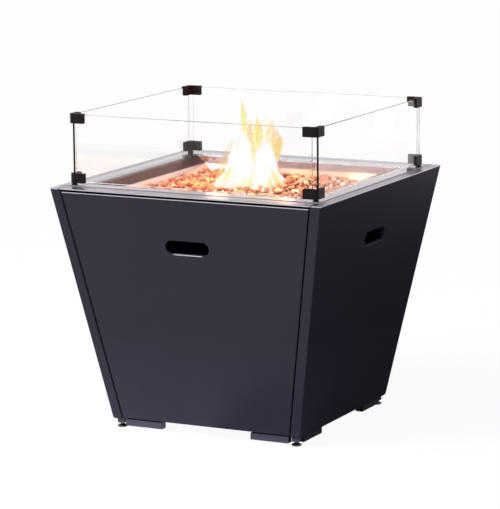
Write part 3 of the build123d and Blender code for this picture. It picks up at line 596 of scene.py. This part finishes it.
# %% Give every node its finish
slot_of = {row["node"]: row["material_slot"] for row in frame["record"]["subparts"]}
# painted shade: the right-hand kick strips take the darker frame paint
own_finish = {
    "door_panel": "door_coat", "clip_screws": "clip_black", "kick_strip_right": "frame_paint",
    "magnet_catches": "foot_zinc", "gas_pipe": "foot_zinc", "mixing_tube": "foot_zinc",
    "heat_shield": "foot_zinc",
}
for name, obj in nodes.items():
    chosen = own_finish.get(name, slot_of[name])
    if name.startswith("levelling_foot_"):
        chosen = "black_zinc"
    obj.data.materials.clear()
    obj.data.materials.append(finishes.get(chosen, finishes["frame_paint"]))
print("nodes dressed:", len(nodes))


# %% Helper that turns a bmesh into a piece
def make_piece(name, bm, body, slot, *materials, sharp=35, cast=True):
    """Writes a bmesh to a new object at the origin that rides on a body."""
    mesh = bpy.data.meshes.new(name)
    bm.to_mesh(mesh)
    bm.free()
    for one in materials:
        mesh.materials.append(one)
    if sharp:
        mesh.shade_smooth()
        mesh.set_sharp_from_angle(angle=math.radians(sharp))
    obj = bpy.data.objects.new(name, mesh)
    obj.visible_shadow = cast
    bpy.context.scene.collection.objects.link(obj)
    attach(obj, body)
    print(name, "has", len(mesh.polygons), "faces")
    return obj


# %% [markdown]
# ## Glass panes
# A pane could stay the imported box, but cut glass is ground along its edges, and that small
# chamfer is what catches the light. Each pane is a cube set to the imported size, its edges
# bevelled, and every face that isn't one of the two large ones gets the green edge glass.


# %% Model the panes
def glass_pane(node):
    """A bevelled pane in the place of a packed one."""
    low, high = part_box(node)
    size = high - low
    bm = bmesh.new()
    bmesh.ops.create_cube(bm, size=1)
    bmesh.ops.scale(bm, vec=size, verts=bm.verts)
    bmesh.ops.translate(bm, vec=(low + high) / 2, verts=bm.verts)
    bmesh.ops.bevel(bm, geom=bm.edges[:], offset=0.0008, offset_type="OFFSET", segments=2,
                    profile=0.5, affect="EDGES", material=-1)
    thin = 0 if size.x < size.y else 1
    for face in bm.faces:
        face.material_index = 0 if abs(face.normal[thin]) > 0.9 else 1
    pane = make_piece(node.replace("glass", "pane"), bm, "wind_guard", "guard_glass",
                      pane_glass, edge_glass, sharp=0)
    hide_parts(node)


for side in ("front", "rear", "left", "right"):
    glass_pane("glass_" + side)

# %% [markdown]
# ## Lava rock
# Lava rock is broken, then tumbled: lumpy, full of small pits, never two alike. Each stone starts
# as an icosphere and is pushed in and out by noise at two sizes. They fill the place of the
# packed stones, in three layers: large ones below, small ones above and a low heap on top. Three
# numbers ride on each stone for the material to read: how much painted glow from the fire it gets,
# its colour among its neighbours, and how much of its top stands clear of them, which sets the
# painted shade on its lower part. The glow is the fire's light, painted on.

# %% Lava finish
lava, tree, shader, place = new_finish("lava rock", 0.85, 0.0, 0.3)
painted_glow_value = add(tree, "Attribute", attribute_name="glow").outputs["Fac"]
tint_value = add(tree, "Attribute", attribute_name="tint").outputs["Fac"]
painted_shade_value = add(tree, "Attribute", attribute_name="shade").outputs["Fac"]
pits = add(tree, "TexVoronoi")
pits.inputs["Scale"].default_value = 260
wire(tree, place, pits.inputs["Vector"])
pores = add(tree, "TexNoise")
pores.inputs["Scale"].default_value = 150
pores.inputs["Detail"].default_value = 8
wire(tree, place, pores.inputs["Vector"])
holes = spread(tree, pits.outputs["Distance"], 0.0, 0.5)
pitted = maths(tree, "MULTIPLY_ADD", pores.outputs["Fac"], 0.8, holes)
relief = add(tree, "Bump")
relief.inputs["Strength"].default_value = 1.0
relief.inputs["Distance"].default_value = 0.004
wire(tree, pitted, relief.inputs["Height"])
wire(tree, relief.outputs[0], shader.inputs["Normal"])

# %% Lava colour, from dark red through orange to pale ash, with painted shade in pits and low down
stone_colour = ramp(tree, tint_value,
                    (0.0, 0.28, 0.09, 0.06), (0.30, 0.80, 0.27, 0.12), (0.70, 0.86, 0.48, 0.29),
                    (1.0, 0.88, 0.74, 0.62))
stone = use(tree, patches, Vector=place, Color=stone_colour, Scale=70.0, Amount=1.5)
# painted shade: the pits and the lower part of each stone turn to the dark crevice colour
out_of_painted_shade = maths(tree, "MULTIPLY", spread(tree, pitted, 0.60, 1.05), painted_shade_value)
painted_crevice_shade = (0.05, 0.014, 0.010, 1)
wire(tree, mix(tree, out_of_painted_shade, painted_crevice_shade, stone.outputs["Color"]), shader.inputs["Base Color"])

# %% Painted fire light on the lava, strongest near the fire and where the stone stands clear
clear_of_others = spread(tree, out_of_painted_shade, 0.15, 0.85, 0.10, 1.0)
painted_glow_amount = maths(tree, "MULTIPLY", painted_glow_value, clear_of_others)
painted_glow_colour = ramp(tree, painted_glow_amount,
             (0.0, 0.0, 0.0, 0.0), (0.35, 0.60, 0.10, 0.035), (0.65, 0.95, 0.36, 0.10),
             (1.0, 1.0, 0.85, 0.40))
wire(tree, painted_glow_colour, shader.inputs["Emission Color"])
shader.inputs["Emission Strength"].default_value = 0.9
print("lava rock has", len(tree.nodes), "nodes")


# %% Helper that makes one stone
full_turn = 6.28


def add_stone(bm, place, radius, maker):
    """One lumpy stone, added to a bmesh: squashed, turned, and pushed in and out by noise."""
    made = bmesh.ops.create_icosphere(bm, subdivisions=1, radius=radius)["verts"]
    squash = Matrix.Diagonal(
        (maker.uniform(0.8, 1.25), maker.uniform(0.7, 1.05), maker.uniform(0.6, 0.9), 1))
    spin = Matrix.Rotation(maker.uniform(0, full_turn), 4, "Z")
    turn = spin @ Matrix.Rotation(maker.uniform(-0.6, 0.6), 4, "X")
    seed = Vector([maker.uniform(-50, 50) for axis in range(3)])
    for vert in made:
        way = vert.co.normalized()
        lumps = noise.noise(way * 1.6 + seed) * 0.62
        dents = noise.noise(way * 4.1 + seed) * 0.34
        vert.co *= 1 + lumps + dents
    bmesh.ops.transform(bm, matrix=Matrix.Translation(place) @ turn @ squash, verts=made)
    return made


def clamp(value, low=0.0, high=1.0):
    """The value, kept between two limits."""
    return max(low, min(high, value))


# %% Fill the pan with stones
maker = random.Random(11)
rock_bed = bmesh.new()
painted_glow_layer = rock_bed.verts.layers.float.new("glow")
tint_layer = rock_bed.verts.layers.float.new("tint")
painted_shade_layer = rock_bed.verts.layers.float.new("shade")
bed_x, bed_y = 0.226, 0.214
layers = (
    # share of the bed, stones across, stones deep, height, smallest and largest radius
    (1.00, 20, 19, 0.0125, 0.0115, 0.0155),
    (0.96, 25, 24, 0.0225, 0.0060, 0.0115),
    (0.62, 15, 14, 0.0290, 0.0060, 0.0110),
)
upper_reach, upper_gaps = 1.25, 0.18     # the upper layers leave out the corners and some stones
fire_x, fire_y, fire_reach = -0.050, -0.030, 0.13
# painted fire light: these few stones get the full painted glow
full_glow_share, full_glow_reach = 0.04, 0.16    # a few stones near the burner glow fully
stones = 0
for share, across, deep, lift, smallest, largest in layers:
    for column in range(across):
        for row in range(deep):
            u = (column + 0.5 + maker.uniform(-0.35, 0.35)) / across * 2 - 1
            v = (row + 0.5 + maker.uniform(-0.35, 0.35)) / deep * 2 - 1
            radius = maker.uniform(smallest, largest)
            x, y = u * share * (bed_x - radius), v * share * (bed_y - radius)
            z = grate_top + lift + maker.uniform(-0.002, 0.002)
            if share < 1 and (math.hypot(u, v) > upper_reach or maker.random() < upper_gaps):
                continue
            made = add_stone(rock_bed, Vector((x, y, z)), radius, maker)
            # painted fire light: the nearer a stone is to the fire, the more glow is painted on it
            away = math.hypot(x - fire_x, y - fire_y) / fire_reach
            fire_light = max(0.05, 1.40 - away) * maker.uniform(0.1, 1.0)
            if maker.random() < full_glow_share and math.hypot(x, y) < full_glow_reach:
                fire_light = 1.0
            tint = clamp(maker.gauss(0.36, 0.27) + x)
            for vert in made:
                # the top of each stone gets more painted glow, and its lower part painted shade
                crest = (vert.co.z - z) / radius
                vert[painted_glow_layer] = clamp(fire_light * (0.9 + 0.3 * crest))
                vert[tint_layer] = tint
                vert[painted_shade_layer] = clamp(0.58 + crest)
            stones += 1
bmesh.ops.recalc_face_normals(rock_bed, faces=rock_bed.faces)
bed = make_piece("lava_rock_bed", rock_bed, "cabinet", "lava_stone", lava, sharp=24)
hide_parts("lava_rocks")
print("stones:", stones)

# %% [markdown]
# ## Flames
# A gas flame has no surface. It could be a volume, but a volume is slow to render and is lost
# when a model is exported, so thin shells stand for it: a white heart of broad columns, a skirt of
# short streaks that leans in over the burner, yellow and orange wisps above, and a faint glow
# behind. Each shell is a ring of points pulled upwards step by step, swaying as it goes, and drawn
# to a point. Two attributes ride on the mesh: how hot the shell is, and how much of it shows. The
# flames cast no shadow and stay inside the wind guard.

# %% Flame finish
flame, tree, shader, place = new_finish("gas flame", 1.0, 0.0, 0.0)
shader.inputs["Base Color"].default_value = (0, 0, 0, 1)
blaze_value = add(tree, "Attribute", attribute_name="blaze").outputs["Fac"]
veil_value = add(tree, "Attribute", attribute_name="veil").outputs["Fac"]
stretched = add(tree, "VectorMath", operation="MULTIPLY")
wire(tree, place, stretched.inputs[0])
stretched.inputs[1].default_value = (90, 90, 22)
licks = add(tree, "TexNoise")
licks.inputs["Detail"].default_value = 3
licks.inputs["Scale"].default_value = 1.0
licks.inputs["Distortion"].default_value = 0.8
wire(tree, stretched.outputs[0], licks.inputs["Vector"])
swing = maths(tree, "MULTIPLY_ADD", licks.outputs["Fac"], 0.8, -0.4)
flame_colour = ramp(tree, maths(tree, "ADD", blaze_value, swing),
                    (0.0, 0.92, 0.42, 0.13), (0.25, 0.93, 0.66, 0.22), (0.50, 0.96, 0.91, 0.32),
                    (0.80, 1.0, 1.0, 0.93), (1.0, 1.0, 1.0, 1.0))
wire(tree, flame_colour, shader.inputs["Emission Color"])
shader.inputs["Emission Strength"].default_value = 1.0

# %% Where a flame shows: soft at its outline, torn by the noise, whole where it is thickest
grazing = add(tree, "LayerWeight")
grazing.inputs["Blend"].default_value = 0.5
soft = spread(tree, grazing.outputs["Facing"], 0.25, 0.85, 1.0, 0.0)
torn = spread(tree, licks.outputs["Fac"], 0.34, 0.60, 0.25, 1.0)
whole = maths(tree, "MAXIMUM", torn, spread(tree, veil_value, 0.8, 1.0))
shown = maths(tree, "MULTIPLY", maths(tree, "MULTIPLY", veil_value, soft), whole)
wire(tree, shown, shader.inputs["Alpha"])
print("gas flame has", len(tree.nodes), "nodes")


# %% Helper that pulls up one tongue
first_radius, thinnest = 0.001, 0.0006
sway_share, ripple_share = 0.16, 0.22                      # of the tongue's half width
ripple_scale = 26
tip_fade, foot_fade = 3.2, 6                               # how fast it fades in and out
apart = Vector((0, 0, 37))                                 # so that X and Y ripple differently


def add_tongue(bm, foot, tip, width, fire_light, show, maker, steps, around, fullness):
    """One closed shell from a foot point to a tip, both points given in metres."""
    blaze_layer = bm.verts.layers.float["blaze"]
    veil_layer = bm.verts.layers.float["veil"]
    foot, tip = Vector(foot), Vector(tip)
    ring = bmesh.ops.create_circle(bm, segments=around, radius=first_radius)["verts"]
    bmesh.ops.translate(bm, verts=ring, vec=foot)
    first, made = ring, list(ring)
    sway = maker.uniform(0, full_turn)
    middle_now, radius_now = foot.copy(), first_radius
    for step in range(1, steps + 1):
        t = step / steps
        # dict.fromkeys drops the doubles and keeps the order, so each run gives the same mesh
        edges = dict.fromkeys(
            edge for vert in ring for edge in vert.link_edges if edge.other_vert(vert) in ring)
        grown = bmesh.ops.extrude_edge_only(bm, edges=list(edges))["geom"]
        ring = [item for item in grown if isinstance(item, bmesh.types.BMVert)]
        bend_way = Vector((math.cos(sway + 5 * t), math.sin(sway + 5 * t), 0))
        bend = bend_way * sway_share * width * math.sin(math.pi * t)
        middle_next = foot.lerp(tip, t) + bend
        swell = math.sin(math.pi * min(1.0, t ** 0.66)) ** fullness
        radius_next = max(thinnest, width * swell)
        grow = radius_next / radius_now
        bmesh.ops.translate(bm, verts=ring, vec=middle_next - middle_now)
        about_middle = Matrix.Translation(-middle_next)
        bmesh.ops.scale(bm, verts=ring, vec=(grow, grow, 1), space=about_middle)
        middle_now, radius_now = middle_next, radius_next
        # a tongue fades at both ends, and is cooler at its tip and right at the burner
        for vert in ring:
            vert[veil_layer] = show * min(1.0, (1 - t) * tip_fade) * min(1.0, t * foot_fade)
            vert[blaze_layer] = fire_light * (1.08 - 0.55 * t) * min(1.0, 0.25 + foot_fade * t)
        made += ring
    for end in (first, ring):
        centre = sum((vert.co for vert in end), Vector()) / around
        bmesh.ops.pointmerge(bm, verts=end, merge_co=centre)
    for vert in made:
        if vert.is_valid:
            # noise.noise_vector starts from the clock, so two plain noises are read instead
            spot = vert.co * ripple_scale + Vector((sway, 0, 0))
            ripple = Vector((noise.noise(spot), noise.noise(spot + apart), 0))
            vert.co += ripple * ripple_share * width


# %% Place the tongues
view_right = Vector((math.cos(camera_turn), math.sin(camera_turn), 0))
view_back = Vector((-math.sin(camera_turn), math.cos(camera_turn), 0))
flame_floor = grate_top + 0.016


def lick(bm, foot, tip, width, fire_light, show, maker, steps=12, around=12, fullness=0.8):
    """A tongue placed by its sideways, backward and upward distances from the middle of the pan."""
    start, end = (view_right * side + view_back * back + Vector((0, 0, up))
                  for side, back, up in (foot, tip))
    add_tongue(bm, start, end, width, fire_light, show, maker, steps, around, fullness)


def new_flame():
    """An empty bmesh with the two flame attributes."""
    bm = bmesh.new()
    bm.verts.layers.float.new("blaze")
    bm.verts.layers.float.new("veil")
    return bm


def close_flame(name, bm):
    """Turns the shells into a piece that rides on the cabinet."""
    def place_in_line(face):
        lowest, second, third = sorted(vert.index for vert in face.verts)[:3]
        return (lowest * len(bm.verts) + second) * len(bm.verts) + third

    # extruding leaves the faces in an order that differs from run to run, so they are sorted
    bm.verts.index_update()
    bm.faces.sort(key=place_in_line)
    bmesh.ops.recalc_face_normals(bm, faces=bm.faces)
    make_piece(name, bm, "cabinet", "lava_stone", flame, sharp=180, cast=False)


# %% White heart
columns = (
    # foot: sideways, back; tip: sideways, back, up; half width
    (-0.026, 0.00, -0.021, 0.00, 0.698, 0.030), (-0.043, -0.01, -0.034, 0.00, 0.664, 0.020),
    (-0.010, 0.01, -0.011, 0.02, 0.704, 0.018), (0.038, 0.00, 0.040, 0.00, 0.690, 0.029),
    (0.050, 0.01, 0.047, 0.01, 0.662, 0.019), (0.006, -0.01, 0.010, 0.00, 0.650, 0.028),
    (-0.020, -0.05, -0.014, -0.02, 0.645, 0.026), (0.028, -0.05, 0.024, -0.02, 0.640, 0.025),
    (-0.018, 0.05, -0.014, 0.03, 0.660, 0.026), (0.030, 0.05, 0.026, 0.03, 0.655, 0.025),
    (-0.056, 0.01, -0.040, 0.01, 0.632, 0.015), (0.060, 0.00, 0.048, 0.01, 0.632, 0.015),
)
heart = new_flame()
maker = random.Random(5)
for side, back, tip_side, tip_back, tip_up, width in columns:
    lick(heart, (side, back, flame_floor), (tip_side, tip_back, tip_up), width,
         fire_light=2.2, show=1.0, maker=maker, fullness=0.5)
print("columns:", len(columns))

# %% Skirt of short streaks round the foot of the heart
streaks, inner = 70, 0.052
for turn in range(streaks):
    angle = turn / streaks * 2 * math.pi + maker.uniform(-0.06, 0.06)
    out, rise = maker.uniform(0.074, 0.104), maker.uniform(0.025, 0.065)
    start = (out * math.cos(angle), out * math.sin(angle), flame_floor)
    end = (inner * math.cos(angle), inner * math.sin(angle), flame_floor + rise)
    width, fire_light = maker.uniform(0.004, 0.008), maker.uniform(0.4, 1.2)
    lick(heart, start, end, width, fire_light, 0.85, maker, steps=7, around=8, fullness=0.6)
close_flame("flame_heart", heart)

# %% Yellow and orange wisps above it, and a faint glow behind
wisp_list = (
    # foot: sideways, back, up; tip: sideways, back, up; half width, heat, how much shows
    ((-0.006, 0.08, 0.662), (-0.018, 0.165, 0.7588), 0.0100, 0.56, 0.85),
    ((-0.006, 0.02, 0.656), (-0.012, 0.06, 0.724), 0.0060, 0.66, 0.50),
    ((0.004, 0.02, 0.662), (0.003, 0.03, 0.722), 0.0080, 0.26, 0.80),
    ((0.012, 0.00, 0.640), (0.020, 0.02, 0.737), 0.0110, 0.52, 0.90),
    ((0.022, 0.01, 0.650), (0.030, 0.02, 0.722), 0.0100, 0.42, 0.80),
    ((0.011, -0.04, 0.606), (0.012, -0.02, 0.684), 0.0050, 0.55, 0.50),
    ((0.040, 0.01, 0.664), (0.044, 0.03, 0.742), 0.0110, 0.72, 0.30),
    ((0.048, 0.01, 0.660), (0.056, 0.02, 0.724), 0.0130, 0.42, 0.60),
    ((0.058, 0.00, 0.648), (0.066, 0.01, 0.708), 0.0130, 0.30, 0.78),
    ((0.066, 0.00, 0.634), (0.074, 0.00, 0.692), 0.0115, 0.30, 0.85),
    ((0.068, 0.00, 0.622), (0.072, 0.00, 0.668), 0.0085, 0.34, 0.60),
)
wisp = new_flame()
maker = random.Random(8)
for foot, tip, width, fire_light, show in wisp_list:
    lick(wisp, foot, tip, width, fire_light, show, maker)
glow_back, glow_top = 0.085, 0.675
for side in (-0.034, 0.040):
    lick(wisp, (side, glow_back, flame_floor), (side * 0.8, glow_back, glow_top), 0.050,
         fire_light=0.20, show=0.34, maker=maker, fullness=0.5)
close_flame("flame_wisps", wisp)

# %% [markdown]
# ## Floor and cards
# The floor is a plain white sheet. It is mostly as bright as the backdrop wherever it is looked at,
# and its remainder keeps the cabinet's shadow.
#
# In a white studio everything glossy turns white, and photographers put up dark cards out of
# sight to give it something dark to mirror. Here two dark sheets that only reflections see are
# painted shade: one lies on the floor beside the cabinet and stands for the shaded floor that the
# right side, leaning out over it, mirrors. The other stands behind, and paints a dark warm
# reflection onto the polished steel in the pan. Neither casts a shadow or dims the light that
# falls on the object.

# %% Floor finish
floor_finish, tree, shader, place = new_finish("studio floor", 0.9, 0.0, 0.1)
paper = use(tree, patches, Vector=place, Color=(0.93, 0.93, 0.93, 1), Scale=0.6, Amount=0.01)
wire(tree, paper.outputs["Color"], shader.inputs["Base Color"])
sight = add(tree, "LightPath")
seen = maths(tree, "MAXIMUM", sight.outputs["Is Camera Ray"], sight.outputs["Is Transmission Ray"])
seen = maths(tree, "MAXIMUM", seen, sight.outputs["Is Glossy Ray"])
white = add(tree, "Emission")
white.inputs["Strength"].default_value = 1.012
lifted = add(tree, "MixShader")
wire(tree, maths(tree, "MULTIPLY", seen, 0.93), lifted.inputs[0])
wire(tree, shader.outputs[0], lifted.inputs[1])
wire(tree, white.outputs[0], lifted.inputs[2])
wire(tree, lifted.outputs[0], tree.nodes["Material Output"].inputs["Surface"])


# %% Helper for flat studio sheets
def flat_sheet(name, half_width, half_depth, finish, place=Matrix()):
    """A rectangle that only stages the object: level, then moved to its place in the mesh."""
    bm = bmesh.new()
    bmesh.ops.create_grid(bm, x_segments=1, y_segments=1, size=1)
    bmesh.ops.scale(bm, verts=bm.verts, vec=(half_width, half_depth, 1))
    bmesh.ops.transform(bm, verts=bm.verts, matrix=place)
    sheet = bpy.data.objects.new(name, bpy.data.meshes.new(name))
    bm.to_mesh(sheet.data)
    bm.free()
    sheet.data.materials.append(finish)
    bpy.context.scene.collection.objects.link(sheet)
    return sheet


flat_sheet("studio_floor", 14, 14, floor_finish)
print("the floor is laid")


# %% Put up the sheets of painted shade that only reflections see
def shade_card(name, centre, half_width, half_depth, lean, turn, colour, through):
    """A dark sheet of painted shade, seen only in reflections, that shines with its own faint
    colour, leaned up from level and turned.
    """
    card_finish, tree, shader, place = new_finish(name, 0.9, 0.0, 0.0)
    shader.inputs["Base Color"].default_value = (0.01, 0.01, 0.01, 1)
    shader.inputs["Emission Color"].default_value = (*colour, 1)
    shader.inputs["Emission Strength"].default_value = 1.0
    turned = Matrix.Rotation(math.radians(turn), 4, "Z")
    leaned = Matrix.Rotation(math.radians(lean), 4, "X")
    stand = Matrix.Translation(centre) @ turned @ leaned
    card = flat_sheet(name, half_width, half_depth, card_finish, stand)
    card.visible_camera = False
    card.visible_transmission = through
    card.visible_shadow = False
    card.visible_diffuse = False


shade_card("side_shade_card", (1.2, 1.05, 0.002), 1.2, 1.55, lean=0, turn=0,
          colour=(0.01, 0.01, 0.01), through=False)
shade_card("rear_reflection_flag", (-0.75, 2.3, 1.82), 1.00, 0.62, lean=90, turn=18,
          colour=(0.10, 0.025, 0.015), through=True)
print("cards: side_shade_card and rear_reflection_flag")
